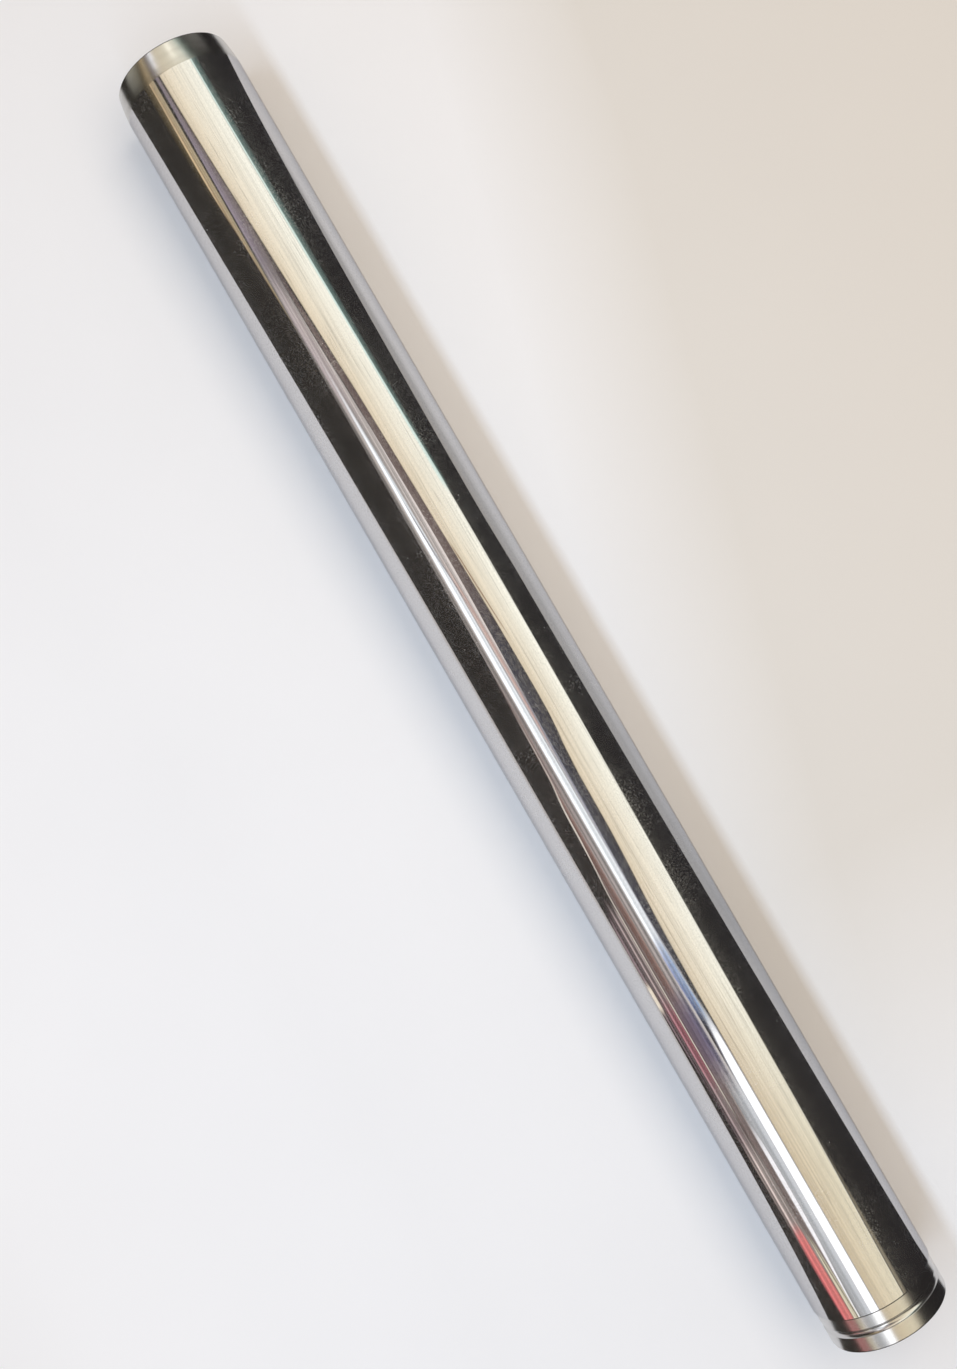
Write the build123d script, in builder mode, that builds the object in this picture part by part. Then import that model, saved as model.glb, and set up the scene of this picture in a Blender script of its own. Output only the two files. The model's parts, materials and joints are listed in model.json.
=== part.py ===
from build123d import *

import os
from math import radians, tan

# Fork tube: the chromed inner tube of a telescopic motorcycle fork, turned and ground from one seamless steel tube.
# It lies along X on the ground, Z up. The origin is on the ground, under the middle of the tube. The lower end,
# with the ground lead-in that enters the slider, is at minus X. The top end, with the neck, the clip groove and the
# threaded mouth for the fork cap, is at plus X. All sizes are in millimetres and all angles in degrees.

# Tube
tube_diameter = 41.0
overall_length = 456.0
wall = 3.5

# Lower end: satin lead-in, ground from where the chrome stops, with a rounded tip
lead_length = 9.0
lead_drop = 1.1  # radial fall from the chrome to the end face, before the tip is rounded
lead_crown = 0.15  # bulge of the lead-in over a straight taper
lead_tip_radius = 1.1
low_mouth_chamfer = 0.5

# Top end: bare neck past the end of the chrome
neck_length = 11.7
neck_step = 0.4  # radial step from the chrome down to the neck
shoulder_length = 0.4  # along the axis, with a slope that the step gives
neck_edge_radius = 0.6

# Groove in the neck for a round wire clip
clip_groove_radius = 1.45
clip_groove_depth = 0.65
clip_groove_setback = 6.3  # from the end face to the middle of the groove

# Mouth for the fork cap: a thread of 36 x 1.5 with this wall, under a plain seat for the cap's seal
thread_stock = 1.0  # radial, from the bore out to the thread's roots
thread_pitch = 1.5
thread_length = 18.0
thread_runout_angle = 45.0
seal_seat_clearance = 0.3  # radial, from the thread's roots out to the seat
seal_seat_depth = 2.5
seal_seat_slope = 30.0  # from the axis, at the bottom of the seat
top_mouth_chamfer = 0.4

# Radii that follow. The thread is cut from its crests, which stand 5/8 of its sharp height in from its roots.
tube_radius = tube_diameter / 2
bore_radius = tube_radius - wall
neck_radius = tube_radius - neck_step
lead_tip_reach = tube_radius - lead_drop
thread_root_radius = bore_radius + thread_stock
thread_height = thread_pitch * 5 / 16 / tan(radians(30))
thread_crest_radius = thread_root_radius - thread_height
seal_seat_radius = thread_root_radius + seal_seat_clearance

# Places along the axis that follow
low_end = -overall_length / 2
top_end = overall_length / 2
chrome_start = low_end + lead_length
chrome_end = top_end - neck_length
neck_start = chrome_end + shoulder_length
seal_seat_bottom = top_end - seal_seat_depth
thread_start = seal_seat_bottom - (seal_seat_radius - thread_crest_radius) / tan(radians(seal_seat_slope))
thread_end = thread_start - thread_length
runout_end = thread_end - (thread_crest_radius - bore_radius) / tan(radians(thread_runout_angle))

# The half section is drawn along the axis and out from it, and spun about the axis
tube_axis = Axis((0, 0, tube_radius), (1, 0, 0))
section_plane = Plane(origin=(0, 0, tube_radius), x_dir=(1, 0, 0), z_dir=(0, -1, 0))


with BuildPart() as fork_tube:
    # Wall of the tube, from the crowned lead-in with its rounded tip to the rounded end of the neck
    with BuildSketch(section_plane) as wall_section:
        with BuildLine():
            lead = SagittaArc((low_end, lead_tip_reach), (chrome_start, tube_radius), -lead_crown)
            Polyline(
                lead @ 1,
                (chrome_end, tube_radius),
                (neck_start, neck_radius),
                (top_end, neck_radius),
                (top_end, bore_radius),
                (low_end, bore_radius),
                lead @ 0,
            )
        make_face()
        corners = wall_section.vertices().group_by(Axis.X)
        fillet(corners[0].sort_by(Axis.Y)[-1], radius=lead_tip_radius)
        fillet(corners[-1].sort_by(Axis.Y)[-1], radius=neck_edge_radius)
    revolve(axis=tube_axis)

    # Clip groove, cut by a round-nosed tool
    with BuildSketch(section_plane):
        with Locations((top_end - clip_groove_setback, neck_radius + clip_groove_radius - clip_groove_depth)):
            Circle(clip_groove_radius)
    revolve(axis=tube_axis, mode=Mode.SUBTRACT)

    # Mouth for the fork cap: runout, thread crests, slope and seal seat
    with BuildSketch(section_plane):
        with BuildLine():
            Polyline(
                (runout_end, 0),
                (runout_end, bore_radius),
                (thread_end, thread_crest_radius),
                (thread_start, thread_crest_radius),
                (seal_seat_bottom, seal_seat_radius),
                (top_end, seal_seat_radius),
                (top_end, 0),
                close=True,
            )
        make_face()
    revolve(axis=tube_axis, mode=Mode.SUBTRACT)

    # Both mouths are broken at the inner edge of their end face
    end_faces = fork_tube.faces().filter_by(Axis.X).sort_by(Axis.X)
    low_mouth = end_faces[0].edges().sort_by(SortBy.LENGTH)[0]
    top_mouth = end_faces[-1].edges().sort_by(SortBy.LENGTH)[0]
    chamfer(low_mouth, length=low_mouth_chamfer)
    chamfer(top_mouth, length=top_mouth_chamfer)

fork_tube.part.label = "fork_tube"

os.makedirs("parts", exist_ok=True)
export_step(fork_tube.part, "parts/fork_tube.step")

print(f"outer diameter {tube_diameter:.2f}, bore {2 * bore_radius:.2f}, neck {2 * neck_radius:.2f}")
print(f"thread crests {2 * thread_crest_radius:.3f} from x {thread_end:.2f} to {thread_start:.2f}")
print(f"volume {fork_tube.part.volume:.0f} cubic millimetres")
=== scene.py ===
"""Looks of the fork tube: a finely spun shell with its cap thread, its steel and chrome finishes, and a plain studio.

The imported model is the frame. It lies along X on the floor, the lead-in at minus X and the neck at plus X.
Blender's units are metres, and every size here is written in millimetres or degrees and turned into them.
"""

import json
import logging
import math
from dataclasses import dataclass, field
from enum import Enum
from typing import Callable, Iterable, Sequence

import bmesh
import bpy
from mathutils import Matrix, Vector

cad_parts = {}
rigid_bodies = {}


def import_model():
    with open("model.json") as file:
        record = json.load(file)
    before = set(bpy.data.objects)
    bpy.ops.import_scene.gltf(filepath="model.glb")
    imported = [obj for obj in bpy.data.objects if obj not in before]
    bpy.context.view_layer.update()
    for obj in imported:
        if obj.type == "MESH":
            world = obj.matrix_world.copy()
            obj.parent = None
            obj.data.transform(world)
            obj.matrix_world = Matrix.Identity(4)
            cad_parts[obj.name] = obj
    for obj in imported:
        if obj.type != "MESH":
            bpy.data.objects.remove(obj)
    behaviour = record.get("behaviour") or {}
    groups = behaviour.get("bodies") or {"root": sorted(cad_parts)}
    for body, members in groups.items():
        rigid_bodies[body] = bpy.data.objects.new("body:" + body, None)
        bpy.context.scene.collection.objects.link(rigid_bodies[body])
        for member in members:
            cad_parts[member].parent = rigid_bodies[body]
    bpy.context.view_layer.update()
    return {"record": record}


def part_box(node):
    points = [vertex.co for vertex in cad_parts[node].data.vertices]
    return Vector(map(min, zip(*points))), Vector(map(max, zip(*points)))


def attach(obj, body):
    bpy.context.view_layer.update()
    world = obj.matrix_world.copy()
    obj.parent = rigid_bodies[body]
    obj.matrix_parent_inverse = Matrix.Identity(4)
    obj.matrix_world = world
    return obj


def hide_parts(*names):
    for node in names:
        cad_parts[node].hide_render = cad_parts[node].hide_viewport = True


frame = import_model()

MM = 0.001
NODE = "fork_tube"
LOG = logging.getLogger("fork_tube_scene")

Colour = tuple[float, float, float]
Point = tuple[float, float]


def linear(red: int, green: int, blue: int) -> Colour:
    """Turns a colour as a screen shows it, 0 to 255, into scene light."""
    return tuple(
        part / 12.92 if part <= 0.04045 else ((part + 0.055) / 1.055) ** 2.4
        for part in (red / 255, green / 255, blue / 255)
    )


def smooth_step(value: float) -> float:
    """Eases a share from 0 to 1 with level ends."""
    share = min(max(value, 0.0), 1.0)
    return share * share * (3 - 2 * share)


def along(points: Sequence[Point], place: float) -> float:
    """Reads a curve through named points.

    Args:
        points: Pairs of place and value, in rising order of place.
        place: Where to read it. Past the ends the end values hold.

    Returns:
        The value there, on a smooth curve through the points.
    """
    if place <= points[0][0]:
        return points[0][1]
    if place >= points[-1][0]:
        return points[-1][1]
    after = next(i for i, point in enumerate(points) if point[0] >= place)
    before = after - 1
    x0, y0 = points[before]
    x1, y1 = points[after]
    first = points[max(before - 1, 0)]
    last = points[min(after + 1, len(points) - 1)]
    slope0 = (y1 - first[1]) / (x1 - first[0])
    slope1 = (last[1] - y0) / (last[0] - x0)
    step = x1 - x0
    share = (place - x0) / step
    return (
        (2 * share**3 - 3 * share**2 + 1) * y0
        + (share**3 - 2 * share**2 + share) * step * slope0
        + (3 * share**2 - 2 * share**3) * y1
        + (share**3 - share**2) * step * slope1
    )


class Nodes:
    """A short way to lay out a material's or a world's nodes."""

    def __init__(self, owner: bpy.types.ID) -> None:
        """Empties the owner's node tree and keeps it."""
        owner.use_nodes = True
        self.tree = owner.node_tree
        self.tree.nodes.clear()

    def add(self, kind: str, links: dict | None = None, **settings: object) -> bpy.types.Node:
        """Adds one node.

        Args:
            kind: The node's type name.
            links: Values or output sockets, by the name or number of the input that they go to.
            settings: Properties of the node.

        Returns:
            The new node.
        """
        node = self.tree.nodes.new(kind)
        for name, value in settings.items():
            setattr(node, name, value)
        for key, value in (links or {}).items():
            if isinstance(value, bpy.types.NodeSocket):
                self.tree.links.new(value, node.inputs[key])
            else:
                node.inputs[key].default_value = value
        return node

    def math(self, operation: str, *values: object, clamp: bool = False) -> bpy.types.NodeSocket:
        """Adds a Math node and returns its result."""
        links = dict(enumerate(values))
        return self.add("ShaderNodeMath", links, operation=operation, use_clamp=clamp).outputs[0]

    def ramp(self, value: bpy.types.NodeSocket, stops: Sequence[tuple[float, Colour]]) -> bpy.types.NodeSocket:
        """Adds a colour ramp.

        Args:
            value: What it reads.
            stops: Pairs of place and colour.

        Returns:
            Its colour output.
        """
        node = self.add("ShaderNodeValToRGB", {"Fac": value})
        elements = node.color_ramp.elements
        while len(elements) < len(stops):
            elements.new(0.5)
        for element, (place, colour) in zip(elements, stops):
            element.position = place
            element.color = (*colour, 1.0)
        return node.outputs["Color"]

    def remap(self, value: object, low: float, high: float, to_low: float, to_high: float) -> bpy.types.NodeSocket:
        """Maps one range onto another, with its ends held, and returns the result."""
        links = {"Value": value, "From Min": low, "From Max": high, "To Min": to_low, "To Max": to_high}
        return self.add("ShaderNodeMapRange", links).outputs["Result"]

    def noise(self, vector: object, scale: float, detail: float = 2.0, roughness: float = 0.5) -> bpy.types.NodeSocket:
        """Adds a noise texture and returns its factor."""
        links = {"Vector": vector, "Scale": scale, "Detail": detail, "Roughness": roughness}
        return self.add("ShaderNodeTexNoise", links).outputs[0]


class Finish(Enum):
    """The finishes on the tube, in the order of its material slots."""

    CHROME = 0
    LEAD_IN = 1
    NECK = 2
    BORE = 3


@dataclass(frozen=True)
class SteelLook:
    """One finish of the tube: a metal with marks that run round it.

    Attributes:
        name: The material's name.
        pale: Its colour where it is cleanest.
        dull: Its colour where it is dullest.
        smooth: The least roughness.
        rough: The most roughness.
        ring_scale: How close the marks round the tube are, in noise cells per metre.
        ring_depth: How deep the marks read as bump, in millimetres.
        grain_depth: How deep the fine grain between the marks reads as bump, in millimetres.
        drawn_out: How far the marks draw reflections out across themselves, 0 to 1.
        haze: The least and the most share of light that the marks scatter.
        edge: How it gives back light at a glancing angle, beside its own colour.
    """

    name: str
    pale: Colour
    dull: Colour
    smooth: float
    rough: float
    ring_scale: float
    ring_depth: float
    grain_depth: float
    drawn_out: float = 0.0
    haze: tuple[float, float] = (0.0, 0.0)
    edge: Colour = (1.0, 1.0, 1.0)

    def material(self, axis_height: float) -> bpy.types.Material:
        """Makes the material.

        Args:
            axis_height: Height of the tube's axis over the floor, in metres.

        Returns:
            The material, with marks placed by Object coordinates.
        """
        material = bpy.data.materials.new(self.name)
        nodes = Nodes(material)
        place = nodes.add("ShaderNodeTexCoord").outputs["Object"]
        centred = nodes.add("ShaderNodeMapping", {"Vector": place, "Location": (0, 0, -axis_height)}).outputs[0]
        rings = nodes.add("ShaderNodeMapping", {"Vector": centred, "Scale": (1.0, 0.03, 0.03)}).outputs[0]
        wide_rings = nodes.noise(rings, self.ring_scale * 0.08, 3.0, 0.6)
        fine_rings = nodes.noise(rings, self.ring_scale, 4.0, 0.7)
        grain = nodes.noise(centred, 2600.0, 3.0, 0.6)
        smudges = nodes.noise(centred, 34.0, 4.0, 0.55)
        wear = nodes.math("MULTIPLY_ADD", wide_rings, 0.6, nodes.math("MULTIPLY", smudges, 0.4))
        colour = nodes.ramp(wear, ((0.35, self.pale), (0.68, self.dull)))
        roughness = nodes.remap(wear, 0.36, 0.66, self.smooth, self.rough)
        rings_bump = nodes.add(
            "ShaderNodeBump", {"Height": fine_rings, "Strength": 1.0, "Distance": self.ring_depth * MM}
        ).outputs[0]
        bump = nodes.add(
            "ShaderNodeBump",
            {"Height": grain, "Strength": 1.0, "Distance": self.grain_depth * MM, "Normal": rings_bump},
        ).outputs[0]
        outward = nodes.add("ShaderNodeMapping", {"Vector": centred, "Scale": (0.0, 8.0, 8.0)}).outputs[0]
        lengthwise = nodes.add("ShaderNodeVectorMath", {0: outward, 1: (1.0, 0.0, 0.0)}, operation="ADD").outputs[0]
        metal = {"Base Color": colour, "Metallic": 1.0, "Normal": bump}
        shader = nodes.add(
            "ShaderNodeBsdfPrincipled",
            {**metal, "Roughness": roughness, "Anisotropic": self.drawn_out, "Tangent": lengthwise,
             "Specular Tint": (*self.edge, 1.0)},
        ).outputs[0]
        if self.haze[1]:
            clouds = nodes.remap(nodes.noise(centred, 46.0, 6.0, 0.6), 0.34, 0.66, 0.3, 1.0)
            specks = nodes.remap(nodes.noise(centred, 1300.0, 3.0, 0.65), 0.42, 0.62, 0.1, 1.0)
            cells = nodes.add("ShaderNodeTexVoronoi", {"Vector": centred, "Scale": 330.0}, feature="F1")
            kept = nodes.math("GREATER_THAN", nodes.add("ShaderNodeSeparateXYZ", {0: cells.outputs["Color"]}).outputs[0], 0.9)
            dust = nodes.math("MULTIPLY", kept, nodes.remap(cells.outputs["Distance"], 0.04, 0.08, 1.0, 0.0))
            marks = nodes.math("MAXIMUM", nodes.math("MULTIPLY", clouds, specks), nodes.math("MULTIPLY", dust, 3.0))
            share = nodes.math("MULTIPLY_ADD", marks, self.haze[1] - self.haze[0], self.haze[0])
            scattered = nodes.add(
                "ShaderNodeBsdfPrincipled", {"Base Color": (0.95, 0.95, 0.97, 1.0), "Metallic": 1.0, "Roughness": 0.45}
            ).outputs[0]
            shader = nodes.add("ShaderNodeMixShader", {0: share, 1: shader, 2: scattered}).outputs[0]
        nodes.add("ShaderNodeOutputMaterial", {"Surface": shader})
        return material


LOOKS = {
    Finish.CHROME: SteelLook(
        "hard_chrome", (0.645, 0.645, 0.655), (0.625, 0.625, 0.635), 0.03, 0.05, 2400.0, 0.0002, 0.0001,
        haze=(0.012, 0.22), edge=(0.62, 0.62, 0.64),
    ),
    Finish.LEAD_IN: SteelLook(
        "ground_lead_in", (0.55, 0.545, 0.53), (0.47, 0.465, 0.45), 0.20, 0.28, 3200.0, 0.0010, 0.0005, drawn_out=0.2
    ),
    Finish.NECK: SteelLook(
        "turned_neck", (0.64, 0.635, 0.63), (0.56, 0.555, 0.55), 0.20, 0.26, 3600.0, 0.0003, 0.0001, drawn_out=0.4
    ),
    Finish.BORE: SteelLook(
        "drawn_bore", (0.46, 0.44, 0.42), (0.34, 0.32, 0.30), 0.34, 0.46, 1500.0, 0.006, 0.004
    ),
}


@dataclass
class ForkTube:
    """The tube as one spun shell, with the cap thread that the plain solid leaves out.

    Lengths are in millimetres. The length and the outer radius come from the frame.
    """

    length: float
    radius: float
    wall: float
    lead_length: float = 9.0
    lead_drop: float = 1.1
    lead_crown: float = 0.15
    lead_tip_radius: float = 1.1
    low_mouth_chamfer: float = 0.5
    neck_length: float = 11.7
    neck_step: float = 0.4
    shoulder_length: float = 0.4
    neck_edge_radius: float = 0.6
    clip_groove_radius: float = 1.45
    clip_groove_depth: float = 0.65
    clip_groove_setback: float = 6.3
    thread_stock: float = 1.0
    thread_pitch: float = 1.5
    thread_length: float = 18.0
    seal_seat_clearance: float = 0.3
    seal_seat_depth: float = 2.5
    seal_seat_slope: float = 30.0
    top_mouth_chamfer: float = 0.4
    edge_break: float = 0.07
    steps: int = 320
    thread_steps: int = 72
    objects: list[bpy.types.Object] = field(default_factory=list)

    @property
    def low_end(self) -> float:
        """Place of the lower end face."""
        return -self.length / 2

    @property
    def top_end(self) -> float:
        """Place of the top end face."""
        return self.length / 2

    @property
    def chrome_start(self) -> float:
        """Where the lead-in meets the chrome."""
        return self.low_end + self.lead_length

    @property
    def chrome_end(self) -> float:
        """Where the chrome meets the neck's shoulder."""
        return self.top_end - self.neck_length

    @property
    def bore_radius(self) -> float:
        """Radius of the bore."""
        return self.radius - self.wall

    @property
    def neck_radius(self) -> float:
        """Radius of the neck."""
        return self.radius - self.neck_step

    @property
    def thread_root(self) -> float:
        """Radius of the thread's roots."""
        return self.bore_radius + self.thread_stock

    @property
    def thread_crest(self) -> float:
        """Radius of the thread's crests, 5/8 of its sharp height in from the roots."""
        return self.thread_root - self.thread_pitch * 5 / 16 / math.tan(math.radians(30))

    @property
    def seat_radius(self) -> float:
        """Radius of the seat for the cap's seal."""
        return self.thread_root + self.seal_seat_clearance

    @property
    def thread_mouth(self) -> float:
        """Where the thread begins, seen from the mouth."""
        slope = math.tan(math.radians(self.seal_seat_slope))
        return self.top_end - self.seal_seat_depth - (self.seat_radius - self.thread_crest) / slope

    def lead_in(self, points: int = 12) -> list[Point]:
        """The crowned lead-in, from its tip to the chrome.

        Args:
            points: How many points lie between its two ends.

        Returns:
            Places along the axis with their radii.
        """
        curve = []
        for i in range(points + 2):
            share = i / (points + 1)
            crown = 4 * self.lead_crown * share * (1 - share)
            curve.append((self.low_end + self.lead_length * share, self.radius - self.lead_drop * (1 - share) + crown))
        return curve

    def clip_groove(self, points: int = 20) -> list[Point]:
        """The round-bottomed clip groove, from its low side to its top side.

        Args:
            points: How many points lie on its arc.

        Returns:
            Places along the axis with their radii.
        """
        middle = self.top_end - self.clip_groove_setback
        lift = self.clip_groove_radius - self.clip_groove_depth
        half = math.acos(lift / self.clip_groove_radius)
        angles = [-half + 2 * half * i / (points - 1) for i in range(points)]
        return [
            (
                middle + self.clip_groove_radius * math.sin(angle),
                self.neck_radius + lift - self.clip_groove_radius * math.cos(angle),
            )
            for angle in angles
        ]

    def section(self) -> tuple[list[Point], dict[int, float]]:
        """The half section of the wall, with the thread's wall at its roots.

        Returns:
            The outline's points in order, and the radius at which some of them are rounded, by number.
        """
        lead = self.lead_in()
        groove = self.clip_groove()
        seat = self.top_end - self.seal_seat_depth
        slope = math.tan(math.radians(self.seal_seat_slope))
        root_mouth = seat - (self.seat_radius - self.thread_root) / slope
        root_end = self.thread_mouth - self.thread_length
        runout = root_end - (self.thread_root - self.bore_radius)
        outer = lead + [
            (self.chrome_end, self.radius),
            (self.chrome_end + self.shoulder_length, self.neck_radius),
            *groove,
            (self.top_end, self.neck_radius),
        ]
        inner = [
            (self.top_end, self.seat_radius + self.top_mouth_chamfer),
            (self.top_end - self.top_mouth_chamfer, self.seat_radius),
            (seat, self.seat_radius),
            (root_mouth, self.thread_root),
            (root_end, self.thread_root),
            (runout, self.bore_radius),
            (self.low_end + self.low_mouth_chamfer, self.bore_radius),
            (self.low_end, self.bore_radius + self.low_mouth_chamfer),
        ]
        shoulder = len(lead)
        groove_start = shoulder + 2
        groove_end = groove_start + len(groove) - 1
        neck_edge = groove_end + 1
        rounding = {0: self.lead_tip_radius, neck_edge: self.neck_edge_radius}
        for corner in (shoulder, shoulder + 1, groove_start, groove_end, neck_edge + 1, neck_edge + 2):
            rounding[corner] = self.edge_break
        last = len(outer) + len(inner) - 1
        for corner in (last - 1, last):
            rounding[corner] = self.edge_break
        return outer + inner, rounding

    def spin_wall(self, mesh: bmesh.types.BMesh) -> None:
        """Draws the section as a face, rounds its corners and spins its outline about the axis.

        Args:
            mesh: Where the wall is made.
        """
        points, rounding = self.section()
        corners = [mesh.verts.new((x * MM, 0.0, (self.radius + r) * MM)) for x, r in points]
        mesh.faces.new(corners)
        for number, radius in sorted(rounding.items()):
            bmesh.ops.bevel(
                mesh,
                geom=[corners[number]],
                offset=radius * MM,
                offset_type="OFFSET",
                segments=10 if radius > self.edge_break else 3,
                profile=0.5,
                affect="VERTICES",
                material=-1,
            )
        bmesh.ops.delete(mesh, geom=list(mesh.faces), context="FACES_ONLY")
        bmesh.ops.spin(
            mesh,
            geom=list(mesh.verts) + list(mesh.edges),
            cent=(0.0, 0.0, self.radius * MM),
            axis=(1.0, 0.0, 0.0),
            angle=2 * math.pi,
            steps=self.steps,
            use_merge=True,
        )

    def spin_thread(self, mesh: bmesh.types.BMesh) -> None:
        """Winds the thread's ridge for the mouth's wall, with both of its ends run out.

        Args:
            mesh: Where the ridge is added.
        """
        sunk = 0.02
        turns = self.thread_length / self.thread_pitch - 1
        start = self.thread_mouth - self.thread_length + self.thread_pitch / 2
        base, crest = self.thread_pitch * 7 / 16, self.thread_pitch / 8
        section = (
            (-base, self.thread_root + sunk),
            (-crest, self.thread_crest),
            (crest, self.thread_crest),
            (base, self.thread_root + sunk),
        )
        ridge = bmesh.new()
        first = ridge.faces.new([ridge.verts.new(((start + x) * MM, 0.0, (self.radius + r) * MM)) for x, r in section])
        steps = round(turns * self.thread_steps)
        bmesh.ops.spin(
            ridge,
            geom=[first],
            cent=(0.0, 0.0, self.radius * MM),
            axis=(1.0, 0.0, 0.0),
            dvec=(turns * self.thread_pitch * MM / steps, 0.0, 0.0),
            angle=2 * math.pi * turns,
            steps=steps,
        )
        for vert in ridge.verts:
            out = Vector((0.0, vert.co.y, vert.co.z - self.radius * MM))
            if out.length < (self.thread_root - 0.1) * MM:
                wound = (vert.co.x / MM - start) / self.thread_pitch
                share = smooth_step(min(wound, turns - wound) / 0.6)
                out *= (self.thread_root + (self.thread_crest - self.thread_root) * share) * MM / out.length
                vert.co.y, vert.co.z = out.y, out.z + self.radius * MM
        data = bpy.data.meshes.new("thread_ridge")
        ridge.to_mesh(data)
        ridge.free()
        mesh.from_mesh(data)
        bpy.data.meshes.remove(data)

    def finish_of(self, centre: Vector) -> Finish:
        """Picks the finish of a face.

        Args:
            centre: The middle of the face, in metres.

        Returns:
            The finish there.
        """
        x = centre.x / MM
        r = math.hypot(centre.y / MM, centre.z / MM - self.radius)
        if r < self.seat_radius + self.edge_break and x > self.low_end + self.low_mouth_chamfer + 0.1:
            return Finish.BORE
        if x < self.chrome_start:
            return Finish.LEAD_IN
        if x > self.chrome_end:
            return Finish.NECK
        return Finish.CHROME

    def build(self) -> bpy.types.Object:
        """Returns:
            The finished object.
        """
        mesh = bmesh.new()
        self.spin_wall(mesh)
        self.spin_thread(mesh)
        bmesh.ops.remove_doubles(mesh, verts=mesh.verts, dist=0.001 * MM)
        bmesh.ops.recalc_face_normals(mesh, faces=mesh.faces)
        for face in mesh.faces:
            face.smooth = True
            face.material_index = self.finish_of(face.calc_center_median()).value
        for edge in mesh.edges:
            edge.smooth = len(edge.link_faces) == 2 and edge.calc_face_angle() < math.radians(32)
        data = bpy.data.meshes.new("tube_shell")
        mesh.to_mesh(data)
        mesh.free()
        tube = bpy.data.objects.new("tube_shell", data)
        bpy.context.scene.collection.objects.link(tube)
        normals = tube.modifiers.new("even_normals", "WEIGHTED_NORMAL")
        normals.mode = "FACE_AREA"
        normals.weight = 50
        normals.keep_sharp = True
        for finish in Finish:
            data.materials.append(LOOKS[finish].material(self.radius * MM))
        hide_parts(NODE)
        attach(tube, "root")
        self.objects.append(tube)
        return tube


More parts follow.
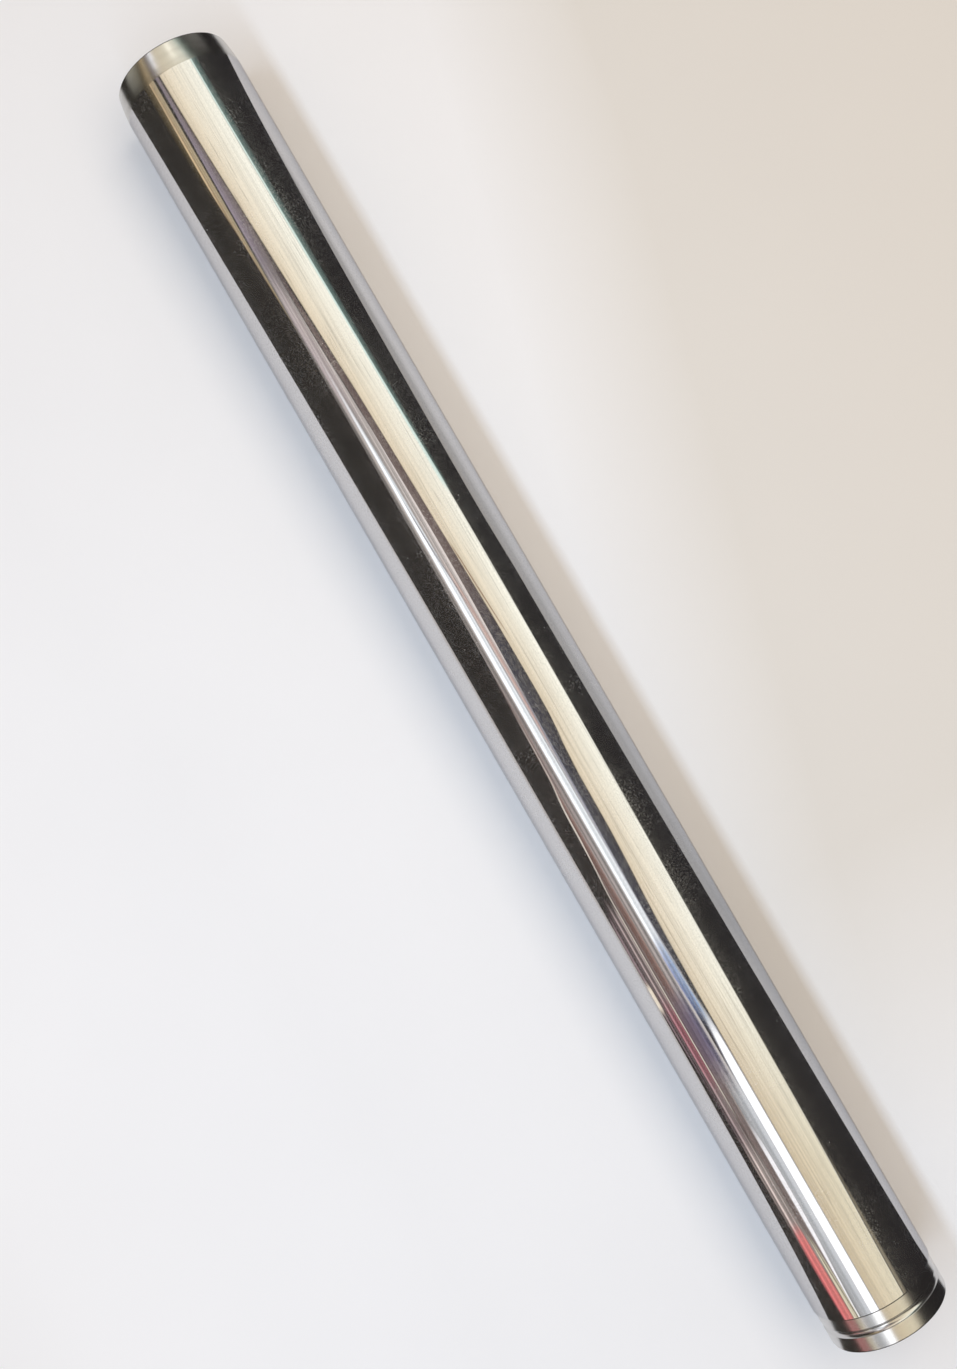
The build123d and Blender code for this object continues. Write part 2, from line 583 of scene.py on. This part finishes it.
@dataclass(frozen=True)
class Card:
    """A softly edged card of light on a tunnel about the tube, seen only in reflections.

    Angles are in degrees about the tube's axis, 0 straight up and positive towards plus Y.

    Attributes:
        name: The card's name.
        near: Its edge on the minus Y side, as places along X in millimetres with angles.
        far: Its edge on the plus Y side, in the same form.
        colours: Its colour at the near edge and at the far edge, as the chrome shows them on a screen.
        softness: Width of its soft long edges, in degrees.
        end_softness: Length of its soft short edges, in millimetres.
        layer: Its order: a higher card hides a lower one.
        opacity: How much of what lies behind it the card hides.
        gain: How many times brighter than a screen's white it may be.
        streaks: How strongly drifting streaks shift its colours.
        rows: How strongly fine long rows lighten and darken it.
        scratches: How much thin wandering lines darken it.
    """

    name: str
    near: tuple[Point, ...]
    far: tuple[Point, ...]
    colours: tuple[Colour, Colour]
    softness: float = 1.5
    end_softness: float = 20.0
    layer: int = 1
    opacity: float = 1.0
    gain: float = 1.0
    streaks: float = 0.0
    rows: float = 0.0
    scratches: float = 0.0

    def build(self, studio: "Studio") -> bpy.types.Object:
        """Bends a grid onto the tunnel between the two edges.

        Args:
            studio: Gives the tunnel's radius and the axis.

        Returns:
            The card.
        """
        low = min(self.near[0][0], self.far[0][0])
        high = max(self.near[-1][0], self.far[-1][0])
        mesh = bmesh.new()
        bmesh.ops.create_grid(mesh, x_segments=96, y_segments=24, size=0.5)
        cover = mesh.verts.layers.float.new("cover")
        across = mesh.verts.layers.float.new("across")
        reach = studio.tunnel_radius - 4.0 * self.layer
        for vert in mesh.verts:
            u, v = vert.co.x + 0.5, vert.co.y + 0.5
            x = low + (high - low) * u
            near, far = along(self.near, x), along(self.far, x)
            angle = near + (far - near) * v
            side = min(angle - near, far - angle) / self.softness
            end = min(x - low, high - x) / self.end_softness
            vert[cover] = self.opacity * smooth_step(side) * smooth_step(end)
            vert[across] = v
            turn = math.radians(angle)
            vert.co = Vector((x * MM, reach * math.sin(turn) * MM, (studio.axis_height + reach * math.cos(turn)) * MM))
        card = studio.reflected(self.name, mesh)
        card.data.materials.append(self.material(studio))
        return card

    def material(self, studio: "Studio") -> bpy.types.Material:
        """Makes its light, which runs from one edge's colour to the other's.

        Args:
            studio: Gives the share of light that the chrome gives back.

        Returns:
            The material.
        """
        material = bpy.data.materials.new(self.name)
        nodes = Nodes(material)
        across = nodes.add("ShaderNodeAttribute", attribute_name="across").outputs["Fac"]
        place = nodes.add("ShaderNodeTexCoord").outputs["Object"]
        if self.streaks:
            drift = nodes.add("ShaderNodeMapping", {"Vector": place, "Scale": (1.2, 12.0, 12.0)}).outputs[0]
            streak = nodes.noise(drift, 1.5, 5.0, 0.6)
            across = nodes.math("ADD", across, nodes.math("MULTIPLY_ADD", streak, self.streaks, -self.streaks / 2))
        colour = nodes.ramp(across, ((0.0, self.colours[0]), (1.0, self.colours[1])))
        if self.rows:
            long = nodes.add("ShaderNodeMapping", {"Vector": place, "Scale": (0.6, 13.0, 13.0)}).outputs[0]
            row = nodes.remap(nodes.noise(long, 1.0, 4.0, 0.55), 0.40, 0.60, 1 - self.rows, 1 + self.rows / 2)
            colour = nodes.add("ShaderNodeVectorMath", {0: colour, "Scale": row}, operation="SCALE").outputs[0]
        if self.scratches:
            stretched = nodes.add("ShaderNodeMapping", {"Vector": place, "Scale": (0.5, 2.2, 2.2)}).outputs[0]
            fold = nodes.math("PINGPONG", nodes.noise(stretched, 2.2, 3.0, 0.45), 0.05)
            line = nodes.remap(fold, 0.0, 0.012, 1 - self.scratches, 1.0)
            colour = nodes.add("ShaderNodeVectorMath", {0: colour, "Scale": line}, operation="SCALE").outputs[0]
        light = nodes.add("ShaderNodeEmission", {"Color": colour, "Strength": self.gain / studio.chrome_return}).outputs[0]
        clear = nodes.add("ShaderNodeBsdfTransparent").outputs[0]
        cover = nodes.add("ShaderNodeAttribute", attribute_name="cover").outputs["Fac"]
        mix = nodes.add("ShaderNodeMixShader", {0: cover, 1: clear, 2: light}).outputs[0]
        nodes.add("ShaderNodeOutputMaterial", {"Surface": mix})
        material.cycles.emission_sampling = "NONE"
        return material


CARDS = (
    Card(
        "dark_surround",
        near=((-3000, -180), (3000, -180)),
        far=((-3000, 180), (3000, 180)),
        colours=(linear(47, 44, 39), linear(34, 32, 34)),
        end_softness=1.0,
        layer=-30,
        streaks=0.3,
    ),
    Card(
        "cream_panel",
        near=((-2200, -34), (-840, -24), (-600, -12.5), (-400, -1.5), (-200, 5), (-100, 8), (0, 9.5), (50, 8), (90, 1.5),
              (200, -1), (300, -8), (400, -10.5), (550, -11.5), (1500, -11)),
        far=((-2200, 38), (-840, 40), (-600, 44), (-250, 56), (0, 55.5), (200, 52.5), (400, 49), (600, 45.5),
             (800, 38.5), (1500, 24)),
        colours=(linear(222, 205, 176), linear(255, 253, 238)),
        streaks=0.25,
        scratches=0.35,
        rows=0.08,
    ),
    Card(
        "cream_shade",
        near=((300, -9), (500, -12), (1500, -11)),
        far=((300, 50), (500, 48), (800, 38.5), (1500, 24)),
        colours=(linear(200, 182, 150), linear(222, 210, 178)),
        end_softness=420.0,
        layer=2,
        opacity=0.75,
        scratches=0.3,
        rows=0.1,
    ),
    Card(
        "cool_fringe",
        near=((-2200, 30), (-840, 38), (-600, 42), (-400, 47), (-245, 49)),
        far=((-2200, 42), (-840, 42), (-600, 47), (-400, 52), (-245, 57)),
        colours=(linear(236, 246, 234), linear(188, 214, 206)),
        softness=1.5,
        end_softness=8.0,
        layer=2,
    ),
    Card(
        "grey_band",
        near=((-640, -38), (-500, -40), (-200, -41), (0, -44), (140, -53)),
        far=((-640, -17), (-500, -17), (-400, -12), (-200, -6.5), (0, -11), (140, -16)),
        colours=(linear(150, 142, 136), linear(208, 198, 192)),
        end_softness=120.0,
        rows=0.5,
    ),
    Card(
        "lower_greys",
        near=((-60, -44), (100, -50), (200, -58), (300, -63), (1500, -62)),
        far=((-60, -24), (200, -31), (300, -30), (560, -27), (1500, -27)),
        colours=(linear(128, 108, 102), linear(176, 170, 166)),
        end_softness=110.0,
        layer=2,
        streaks=0.7,
        rows=0.5,
    ),
    Card(
        "pink_rows",
        near=((255, -80), (290, -90), (400, -90), (500, -87), (600, -84), (700, -82), (1500, -78)),
        far=((255, -66), (300, -61), (900, -58), (1500, -56)),
        colours=(linear(116, 98, 102), linear(200, 182, 176)),
        softness=2.5,
        end_softness=30.0,
        layer=2,
        streaks=0.6,
        rows=0.8,
    ),
    Card(
        "mauve_band",
        near=((-2000, -42), (-840, -33), (-700, -35), (-600, -36), (-500, -34)),
        far=((-2000, -30), (-840, -24), (-700, -17), (-600, -12), (-500, -9)),
        colours=(linear(152, 140, 152), linear(112, 100, 95)),
        softness=3.0,
        end_softness=140.0,
        layer=2,
        rows=0.2,
    ),
    Card(
        "gold_patch",
        near=((-2000, -56), (-840, -49), (-700, -50), (-600, -44), (-480, -39.5)),
        far=((-2000, -42), (-840, -36), (-700, -35.5), (-600, -36.5), (-480, -37)),
        colours=(linear(196, 168, 130), linear(232, 214, 176)),
        softness=2.5,
        end_softness=80.0,
        layer=3,
        rows=0.5,
    ),
    Card(
        "dark_wedge",
        near=((-640, -17), (-500, -17), (-400, -12), (-300, -10), (-200, -8), (-100, -8), (0, -12), (100, -14), (200, -17),
              (300, -19), (400, -13.5), (440, -12)),
        far=((-640, -14), (-500, -8), (-400, -0.5), (-300, 1.5), (-200, 6), (-100, 9), (0, 10.5), (50, 9), (90, 2.5),
             (200, 0), (300, -7), (440, -11)),
        colours=(linear(66, 66, 74), linear(52, 50, 54)),
        end_softness=110.0,
        layer=3,
        streaks=0.5,
        rows=0.3,
    ),
    Card(
        "wedge_brown",
        near=((-640, -17), (-500, -17), (-400, -12), (-300, -10), (-200, -8), (-40, -9)),
        far=((-640, -14), (-500, -8), (-400, -0.5), (-200, 7), (-40, 12)),
        colours=(linear(120, 104, 98), linear(94, 78, 76)),
        end_softness=150.0,
        layer=4,
        opacity=0.85,
    ),
    Card(
        "peach_patch",
        near=((-190, -22), (-60, -20), (90, -20)),
        far=((-190, -15), (-60, -12), (90, -15)),
        colours=(linear(222, 190, 178), linear(190, 158, 146)),
        softness=2.5,
        end_softness=60.0,
        layer=3,
        opacity=0.8,
        rows=0.25,
    ),
    Card(
        "white_strip",
        near=((-480, -31), (-300, -32), (-200, -33), (0, -34), (200, -34), (340, -33), (420, -26), (480, -26)),
        far=((-480, -26), (-300, -21.5), (-200, -20.5), (0, -19.5), (200, -18.5), (350, -18), (430, -12), (480, -11)),
        colours=(linear(248, 252, 255), linear(248, 252, 255)),
        softness=3.0,
        end_softness=200.0,
        layer=4,
        gain=1.12,
        rows=0.35,
    ),
    Card(
        "white_end",
        near=((400, -20), (440, -24), (500, -28.5), (560, -29), (1500, -29)),
        far=((400, -11), (500, -10.5), (1500, -10.5)),
        colours=(linear(252, 253, 255), linear(252, 253, 255)),
        softness=4.5,
        end_softness=80.0,
        layer=4,
        gain=1.5,
    ),
    Card(
        "brown_streak",
        near=((90, -50), (200, -57), (300, -58), (430, -58)),
        far=((90, -46), (200, -47), (300, -46), (430, -44)),
        colours=(linear(120, 92, 84), linear(142, 116, 106)),
        softness=2.0,
        end_softness=60.0,
        layer=3,
        rows=0.3,
    ),
    Card(
        "pale_line",
        near=((0, -45), (100, -49), (140, -56), (180, -58), (215, -60), (260, -64), (560, -64)),
        far=((0, -43), (100, -46.5), (140, -52), (180, -54), (215, -57), (260, -61), (560, -61)),
        colours=(linear(232, 222, 206), linear(238, 226, 214)),
        softness=1.2,
        end_softness=50.0,
        layer=4,
        opacity=0.85,
    ),
    Card(
        "far_window",
        near=((-1800, -31), (-1120, -30)),
        far=((-1800, -17), (-1120, -18)),
        colours=(linear(232, 238, 255), linear(240, 244, 255)),
        softness=6.0,
        end_softness=160.0,
        layer=5,
        gain=2.2,
    ),
    Card(
        "far_glints",
        near=((-1700, 11), (-1150, 11)),
        far=((-1700, 24), (-1150, 24)),
        colours=(linear(255, 248, 232), linear(255, 250, 238)),
        softness=6.0,
        end_softness=160.0,
        layer=5,
        gain=2.4,
    ),
    Card(
        "shaded_edge",
        near=((560, 45), (640, 43), (800, 37.5), (1500, 22)),
        far=((560, 50), (640, 49), (800, 48), (1500, 34)),
        colours=(linear(170, 158, 134), linear(40, 38, 38)),
        softness=4.0,
        end_softness=160.0,
        layer=3,
        opacity=0.9,
    ),
    Card(
        "blue_glow",
        near=((310, -34), (360, -34), (440, -30)),
        far=((310, -19), (360, -18), (440, -14)),
        colours=(linear(104, 116, 166), linear(156, 190, 236)),
        softness=4.0,
        end_softness=40.0,
        layer=5,
        opacity=0.75,
        rows=0.4,
    ),
    Card(
        "rose_rows",
        near=((560, -86), (660, -84), (780, -80)),
        far=((560, -59), (660, -58), (780, -57)),
        colours=(linear(196, 178, 170), linear(250, 238, 228)),
        softness=4.0,
        end_softness=60.0,
        layer=3,
        opacity=0.8,
        streaks=0.5,
        rows=0.7,
    ),
    Card(
        "red_patch",
        near=((680, -80), (740, -83), (845, -79)),
        far=((680, -62), (740, -60.5), (845, -58)),
        colours=(linear(206, 110, 110), linear(250, 146, 140)),
        softness=4.0,
        end_softness=26.0,
        layer=4,
        rows=0.3,
    ),
    Card(
        "white_bar",
        near=((540, -50), (600, -50), (700, -49.5), (800, -50.5), (1500, -50.5)),
        far=((540, -47), (600, -42), (700, -42), (750, -45), (800, -47.5), (1500, -47.5)),
        colours=(linear(250, 248, 250), linear(250, 248, 250)),
        softness=1.2,
        end_softness=70.0,
        layer=4,
    ),
    Card(
        "mauve_column",
        near=((365, -62), (440, -63), (525, -62)),
        far=((365, -32), (440, -31), (525, -29)),
        colours=(linear(122, 104, 112), linear(96, 92, 116)),
        softness=5.0,
        end_softness=60.0,
        layer=3,
        streaks=0.5,
        rows=0.3,
    ),
    Card(
        "olive_glow",
        near=((-2000, -66), (-840, -62), (-640, -56)),
        far=((-2000, -47), (-840, -47), (-640, -44)),
        colours=(linear(50, 46, 36), linear(112, 98, 74)),
        softness=3.5,
        end_softness=130.0,
        rows=0.3,
    ),
    Card(
        "teal_shade",
        near=((-2200, 38), (-840, 39), (-600, 44), (-400, 48), (-245, 50)),
        far=((-2200, 53), (-840, 53), (-600, 58), (-400, 60), (-245, 61)),
        colours=(linear(110, 132, 126), linear(40, 42, 42)),
        softness=2.0,
        end_softness=8.0,
        layer=0,
    ),
    Card(
        "pale_pink",
        near=((-590, -37), (-500, -38), (-340, -34)),
        far=((-590, -24), (-500, -19), (-340, -14)),
        colours=(linear(168, 154, 156), linear(206, 192, 188)),
        softness=3.0,
        end_softness=90.0,
        layer=3,
        opacity=0.75,
        rows=0.3,
    ),
    Card(
        "slate_line",
        near=((-60, -21), (100, -21), (300, -21), (420, -16)),
        far=((-60, -11), (100, -13), (200, -16), (300, -18), (420, -13)),
        colours=(linear(196, 192, 192), linear(112, 116, 132)),
        softness=1.5,
        end_softness=70.0,
        layer=2,
        rows=0.3,
    ),
    Card(
        "loose_line",
        near=((-200, 6.5), (-130, 10.5), (-60, 15.5)),
        far=((-200, 9.5), (-130, 13.5), (-60, 17.2)),
        colours=(linear(132, 106, 84), linear(160, 134, 106)),
        softness=1.0,
        end_softness=24.0,
        layer=5,
    ),
    Card(
        "thin_shade",
        near=((-280, -27.5), (-200, -26), (-150, -21.5), (-90, -17)),
        far=((-280, -25.5), (-200, -23), (-150, -19), (-90, -15)),
        colours=(linear(118, 116, 122), linear(126, 116, 116)),
        softness=1.0,
        end_softness=50.0,
        layer=6,
        opacity=0.85,
    ),
    Card(
        "split_line",
        near=((360, -23), (430, -24.5), (505, -30)),
        far=((360, -20.5), (430, -22), (505, -27.5)),
        colours=(linear(96, 92, 110), linear(112, 110, 120)),
        softness=1.0,
        end_softness=40.0,
        layer=6,
        opacity=0.85,
    ),
    Card(
        "crimson_rows",
        near=((375, -84), (450, -80), (525, -78)),
        far=((375, -62), (525, -61)),
        colours=(linear(164, 106, 116), linear(186, 78, 100)),
        softness=4.0,
        end_softness=45.0,
        layer=3,
        opacity=0.65,
        rows=0.6,
    ),
    Card(
        "cream_spot",
        near=((360, -94), (405, -94)),
        far=((360, -82), (405, -82)),
        colours=(linear(244, 234, 214), linear(232, 216, 194)),
        softness=3.0,
        end_softness=12.0,
        layer=5,
    ),
    Card(
        "cool_grey",
        near=((480, -49), (1500, -49)),
        far=((480, -27), (1500, -27)),
        colours=(linear(138, 140, 140), linear(208, 212, 216)),
        end_softness=60.0,
        layer=3,
        opacity=0.85,
        rows=0.12,
    ),
    Card(
        "cream_stripe",
        near=((690, -59), (760, -60), (845, -60), (1500, -58)),
        far=((690, -55), (760, -50.5), (845, -48.5), (1500, -48.5)),
        colours=(linear(240, 230, 200), linear(214, 206, 178)),
        softness=1.5,
        end_softness=40.0,
        layer=3,
        rows=0.3,
    ),
    Card(
        "thin_line",
        near=((600, -59.5), (720, -57), (815, -52.5), (1000, -47)),
        far=((600, -57.5), (720, -55), (815, -50.5), (1000, -45)),
        colours=(linear(72, 68, 62), linear(84, 80, 76)),
        softness=0.8,
        end_softness=50.0,
        layer=5,
    ),
    Card(
        "far_dim",
        near=((-2000, 52), (-1040, 56)),
        far=((-2000, 96), (-1040, 96)),
        colours=(linear(84, 82, 78), linear(128, 126, 122)),
        softness=8.0,
        end_softness=120.0,
        layer=2,
    ),
    Card(
        "far_grey",
        near=((-2000, -104), (-1040, -100)),
        far=((-2000, -56), (-1040, -60)),
        colours=(linear(170, 168, 160), linear(140, 134, 118)),
        softness=8.0,
        end_softness=120.0,
        layer=2,
    ),
)


@dataclass(frozen=True)
class Lamp:
    """An area lamp over the tube, aimed at it and unseen in reflections.

    Attributes:
        name: The lamp's name.
        angle: Its angle about the tube's axis, in degrees.
        place: Its place along X, in millimetres.
        reach: Its distance from the axis, in millimetres.
        size: Its length along X and its width, in millimetres.
        power: Its power, in watts.
        colour: Its colour.
    """

    name: str
    angle: float
    place: float
    reach: float
    size: tuple[float, float]
    power: float
    colour: Colour

    def hang(self, axis_height: float) -> bpy.types.Object:
        """Hangs the lamp.

        Args:
            axis_height: Height of the tube's axis over the floor, in millimetres.

        Returns:
            The lamp.
        """
        data = bpy.data.lights.new(self.name, "AREA")
        data.shape = "RECTANGLE"
        data.size, data.size_y = self.size[0] * MM, self.size[1] * MM
        data.energy = self.power
        data.color = self.colour
        lamp = bpy.data.objects.new(self.name, data)
        turn = math.radians(self.angle)
        lamp.location = (
            self.place * MM, self.reach * MM * math.sin(turn), (axis_height + self.reach * math.cos(turn)) * MM
        )
        lamp.rotation_euler = (-turn, 0.0, 0.0)
        lamp.visible_glossy = False
        bpy.context.scene.collection.objects.link(lamp)
        return lamp


LAMPS = (
    Lamp("cool_strip", -21.2, 120.0, 450.0, (1000.0, 56.0), 1.48, (0.62, 0.78, 1.0)),
    Lamp("warm_panel", 24.0, -120.0, 800.0, (700.0, 415.0), 2.5, (1.0, 0.88, 0.76)),
)


@dataclass
class Studio:
    """The floor, the lamps, the cards and the dark surround."""

    axis_height: float
    tunnel_radius: float = 1200.0
    tunnel_length: float = 6000.0
    chrome_return: float = 0.64
    ambient: float = 0.50
    objects: list[bpy.types.Object] = field(default_factory=list)

    def link(self, name: str, mesh: bmesh.types.BMesh) -> bpy.types.Object:
        """Turns a bmesh into a stage object and frees it."""
        data = bpy.data.meshes.new(name)
        mesh.to_mesh(data)
        mesh.free()
        obj = bpy.data.objects.new(name, data)
        bpy.context.scene.collection.objects.link(obj)
        self.objects.append(obj)
        return obj

    def reflected(self, name: str, mesh: bmesh.types.BMesh) -> bpy.types.Object:
        """Makes a stage object that only reflections see."""
        obj = self.link(name, mesh)
        obj.visible_camera = False
        obj.visible_diffuse = False
        obj.visible_shadow = False
        obj.visible_transmission = False
        obj.visible_volume_scatter = False
        return obj

    def paper(self, name: str, far_side: Colour) -> bpy.types.Material:
        """Makes pale matt paper, with painted shade towards the plus Y side and a far corner, painted light on the
        near minus Y side, and a painted glow that keeps the far floor pale.

        Args:
            name: The material's name.
            far_side: Its share of colour well out on the plus Y side, where less light falls.

        Returns:
            The material.
        """
        material = bpy.data.materials.new(name)
        nodes = Nodes(material)
        place = nodes.add("ShaderNodeTexCoord").outputs["Object"]
        clouds = nodes.noise(place, 9.0, 3.0, 0.5)
        even = nodes.ramp(clouds, ((0.3, (0.862, 0.872, 0.868)), (0.7, (0.880, 0.890, 0.886))))
        x, y, _ = nodes.add("ShaderNodeSeparateXYZ", {0: place}).outputs
        # Painted shade: a mask that darkens the paper towards the plus Y side and a far corner, fading out with
        # distance.
        slant = nodes.math("MULTIPLY_ADD", x, 0.25, y)
        out = nodes.math("MULTIPLY", nodes.remap(slant, 0.03, 0.085, 0.0, 1.0), nodes.remap(x, 0.10, 0.20, 1.0, 0.0))
        corner = nodes.math("MULTIPLY", nodes.remap(y, 0.12, 0.20, 0.0, 1.0), nodes.remap(x, -0.14, 0.0, 0.6, 0.0))
        distance = nodes.add("ShaderNodeVectorMath", {0: place}, operation="LENGTH").outputs["Value"]
        painted_shade_share = nodes.math("MULTIPLY", nodes.math("ADD", out, corner), nodes.remap(distance, 0.36, 0.8, 1.0, 0.0))
        shade = nodes.ramp(painted_shade_share, ((0.0, (1.0, 1.0, 1.0)), (1.0, far_side)))
        # Painted light: the paper's near minus Y side is made brighter.
        near = nodes.remap(y, -0.24, -0.12, 1.09, 1.0)
        lit = nodes.add("ShaderNodeVectorMath", {0: even, "Scale": near}, operation="SCALE").outputs[0]
        colour = nodes.add("ShaderNodeVectorMath", {0: lit, 1: shade}, operation="MULTIPLY").outputs[0]
        # Painted light: a glow that grows with distance keeps the far floor pale.
        glow = nodes.remap(distance, 0.4, 1.8, 0.0, 0.42)
        shader = nodes.add(
            "ShaderNodeBsdfPrincipled",
            {"Base Color": colour, "Roughness": 0.9, "Specular IOR Level": 0.2,
             "Emission Color": (0.93, 0.97, 1.0, 1.0), "Emission Strength": glow},
        )
        nodes.add("ShaderNodeOutputMaterial", {"Surface": shader.outputs[0]})
        material.cycles.emission_sampling = "NONE"
        return material

    def floor(self) -> None:
        """Lays the wide pale floor with its painted shade, and the smaller sheet that the chrome sees in its place,
        with deeper painted shade on its plus Y side.
        """
        wide = bmesh.new()
        bmesh.ops.create_grid(wide, x_segments=1, y_segments=1, size=6.0)
        floor = self.link("floor", wide)
        floor.visible_glossy = False
        floor.data.materials.append(self.paper("pale_floor", (0.86, 0.83, 0.775)))
        outline = (
            (-262, 40), (-250, 62), (-225, 190), (-205, 400), (-180, 620), (-150, 650), (-118, 560), (-60, 305),
            (0, 245), (50, 190), (110, 130), (150, 103), (235, 62), (252, 30), (252, -120), (280, -400),
            (420, -1300), (-100, -1300), (-150, -400), (-190, -220), (-215, -150), (-262, -92),
        )
        sheet = bmesh.new()
        face = sheet.faces.new([sheet.verts.new((x * MM, y * MM, 0.02 * MM)) for x, y in outline])
        bmesh.ops.triangulate(sheet, faces=[face])
        seen = self.reflected("sheet", sheet)
        # Painted shade: the sheet darkens much more on its plus Y side than the floor does.
        seen.data.materials.append(self.paper("pale_sheet", (0.62, 0.625, 0.625)))

    def tunnel_ends(self) -> None:
        """Closes both ends of the tunnel with dark discs."""
        dark = bpy.data.materials.new("dark_end")
        nodes = Nodes(dark)
        light = nodes.add("ShaderNodeEmission", {"Color": (0.04, 0.036, 0.035, 1.0), "Strength": 1.0}).outputs[0]
        nodes.add("ShaderNodeOutputMaterial", {"Surface": light})
        dark.cycles.emission_sampling = "NONE"
        for name, x in (("low_disc", -self.tunnel_length / 2), ("top_disc", self.tunnel_length / 2)):
            place = Matrix.Translation((x * MM, 0.0, self.axis_height * MM)) @ Matrix.Rotation(math.pi / 2, 4, "Y")
            disc = bmesh.new()
            bmesh.ops.create_circle(disc, cap_ends=True, segments=64, radius=1.2 * self.tunnel_radius * MM, matrix=place)
            self.reflected(name, disc).data.materials.append(dark)

    def world(self) -> None:
        """Makes the surround: pale where it is seen or mirrored, and soft light to the rest."""
        world = bpy.data.worlds.new("studio")
        nodes = Nodes(world)
        path = nodes.add("ShaderNodeLightPath").outputs
        soft = nodes.add("ShaderNodeBackground", {"Color": (1.0, 0.885, 0.805, 1.0), "Strength": self.ambient}).outputs[0]
        pale = nodes.add("ShaderNodeBackground", {"Color": (0.86, 0.85, 0.86, 1.0), "Strength": 1.0}).outputs[0]
        mirrored = nodes.math("MAXIMUM", path["Is Glossy Ray"], path["Is Transmission Ray"])
        shown = nodes.math("MAXIMUM", path["Is Camera Ray"], mirrored)
        seen = nodes.add("ShaderNodeMixShader", {0: shown, 1: soft, 2: pale}).outputs[0]
        nodes.add("ShaderNodeOutputWorld", {"Surface": seen})
        bpy.context.scene.world = world

    def build(self) -> None:
        """Makes the whole studio."""
        self.floor()
        self.world()
        self.tunnel_ends()
        for lamp in LAMPS:
            lamp.hang(self.axis_height)
            LOG.info("lamp %s", lamp.name)
        for card in CARDS:
            card.build(self)
            LOG.info("card %s", card.name)


@dataclass(frozen=True)
class PhotoCamera:
    """The camera over the tube, turned so that the tube runs from the upper left to the lower right.

    Attributes:
        place: Its place along X, in millimetres.
        height: Its height over the tube's axis, in millimetres.
        focal_px: Its focal length in pixels of a frame 957 pixels wide and 1369 high.
        tilt_x: Its small turn about X, in radians.
        tilt_y: Its small turn about Y, in radians.
        roll: How far the tube is turned in the picture, in radians.
    """

    place: float = 2.64
    height: float = 436.7
    focal_px: float = 1366.17
    tilt_x: float = -0.0302
    tilt_y: float = 0.0232
    roll: float = 1.0472
    frame_px: int = 1369
    sensor: float = 36.0

    def build(self, axis_height: float) -> bpy.types.Object:
        """Makes the camera and gives it to the scene.

        Args:
            axis_height: Height of the tube's axis over the floor, in millimetres.

        Returns:
            The camera.
        """
        data = bpy.data.cameras.new("photo_camera")
        data.sensor_fit = "AUTO"
        data.sensor_width = self.sensor
        data.lens = self.focal_px / self.frame_px * self.sensor
        data.clip_start = 0.01
        camera = bpy.data.objects.new("photo_camera", data)
        bpy.context.scene.collection.objects.link(camera)
        tilt = Vector((self.tilt_x, self.tilt_y, 0.0))
        lean = Matrix.Rotation(tilt.length, 3, tilt)
        camera.matrix_world = Matrix.Translation(
            (self.place * MM, 0.0, (axis_height + self.height) * MM)
        ) @ (lean @ Matrix.Rotation(self.roll, 3, "Z")).to_4x4()
        bpy.context.scene.camera = camera
        return camera


def mount(name: str) -> dict:
    """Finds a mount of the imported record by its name."""
    return next(entry for entry in frame["record"]["mounts"] if entry["name"] == name)


def main() -> None:
    """Builds the tube, the camera and the studio."""
    logging.basicConfig(level=logging.INFO, format="%(name)s: %(message)s")
    low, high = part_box(NODE)
    radius = mount("chromed_body")["dims"]["r_mm"]
    wall = radius - mount("bore")["dims"]["r_mm"]
    tube = ForkTube(length=round((high.x - low.x) / MM, 2), radius=radius, wall=wall)
    shell = tube.build()
    LOG.info("tube_shell: %d faces, %.1f mm long", len(shell.data.polygons), tube.length)
    PhotoCamera().build(tube.radius)
    Studio(axis_height=tube.radius).build()
    bpy.context.scene.view_settings.view_transform = "Standard"
    bpy.context.view_layer.update()


if __name__ == "__main__":
    main()
